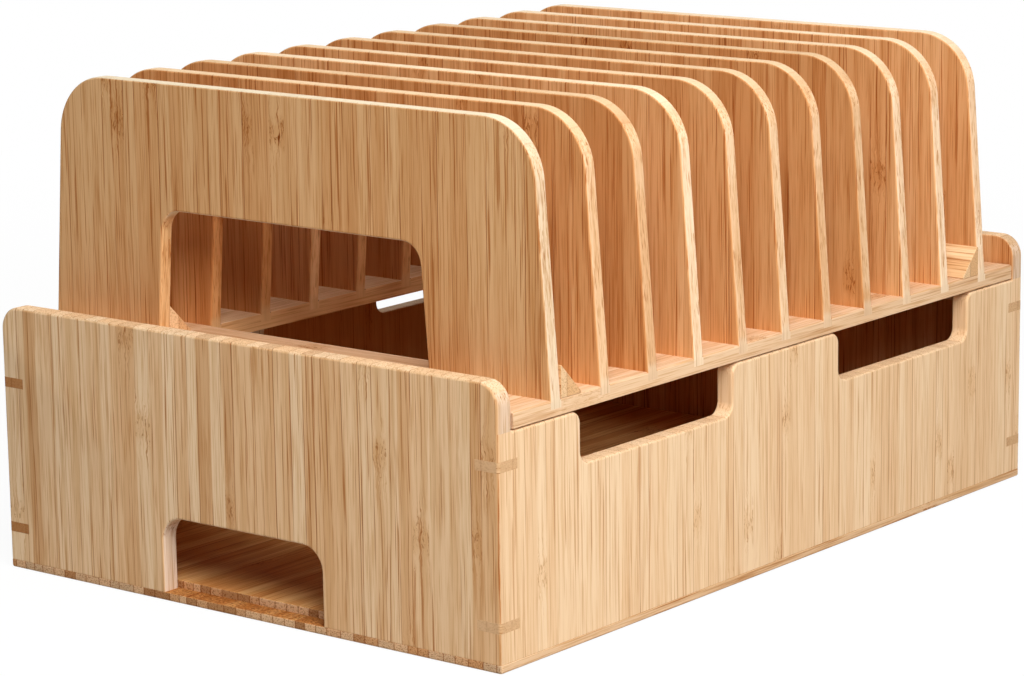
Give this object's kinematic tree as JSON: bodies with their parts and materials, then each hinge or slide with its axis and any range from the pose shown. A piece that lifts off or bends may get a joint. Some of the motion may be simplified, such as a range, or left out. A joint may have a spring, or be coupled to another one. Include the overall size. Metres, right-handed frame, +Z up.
{
  "type": "charging station organizer",
  "caption": "Bamboo charging organizer: an open box with cable notches and a lift-off rack of upright arched dividers that hold phones and tablets.",
  "frame": {"origin": "middle of the underside, on the surface that it stands on", "axes": "+Y along the length, from the front end with the cable hole to the rear end; +X to the right seen from the front end; +Z up"},
  "size_m": [0.25, 0.36, 0.195],
  "materials": {
    "end_bamboo": "satin",
    "side_bamboo": "satin",
    "panel_bamboo": "satin",
    "rail_bamboo": "satin",
    "divider_bamboo": "satin",
    "block_bamboo": "satin",
    "key_bamboo": "satin"
  },
  "bodies": {
    "box": {"bottom_panel": "panel_bamboo", "front_end_wall": "end_bamboo", "rear_end_wall": "end_bamboo", "left_side_wall": "side_bamboo", "right_side_wall": "side_bamboo", "front_left_lower_key": "key_bamboo", "front_left_upper_key": "key_bamboo", "front_right_lower_key": "key_bamboo", "front_right_upper_key": "key_bamboo", "rear_left_lower_key": "key_bamboo", "rear_left_upper_key": "key_bamboo", "rear_right_lower_key": "key_bamboo", "rear_right_upper_key": "key_bamboo"},
    "rack": {"left_rail": "rail_bamboo", "right_rail": "rail_bamboo", "front_cross_rail": "rail_bamboo", "rear_cross_rail": "rail_bamboo", "front_cleat": "rail_bamboo", "rear_cleat": "rail_bamboo", "divider_01": "divider_bamboo", "divider_02": "divider_bamboo", "divider_03": "divider_bamboo", "divider_04": "divider_bamboo", "divider_05": "divider_bamboo", "divider_06": "divider_bamboo", "divider_07": "divider_bamboo", "divider_08": "divider_bamboo", "divider_09": "divider_bamboo", "divider_10": "divider_bamboo", "divider_11": "divider_bamboo", "front_left_glue_block": "block_bamboo", "front_right_glue_block": "block_bamboo", "rear_left_glue_block": "block_bamboo", "rear_right_glue_block": "block_bamboo"}
  },
  "joints": [
    {"name": "rack_lift", "type": "slide", "parent": "box", "child": "rack", "axis": [0, 0, 1], "range_m": [0, 0.12]}
  ]
}
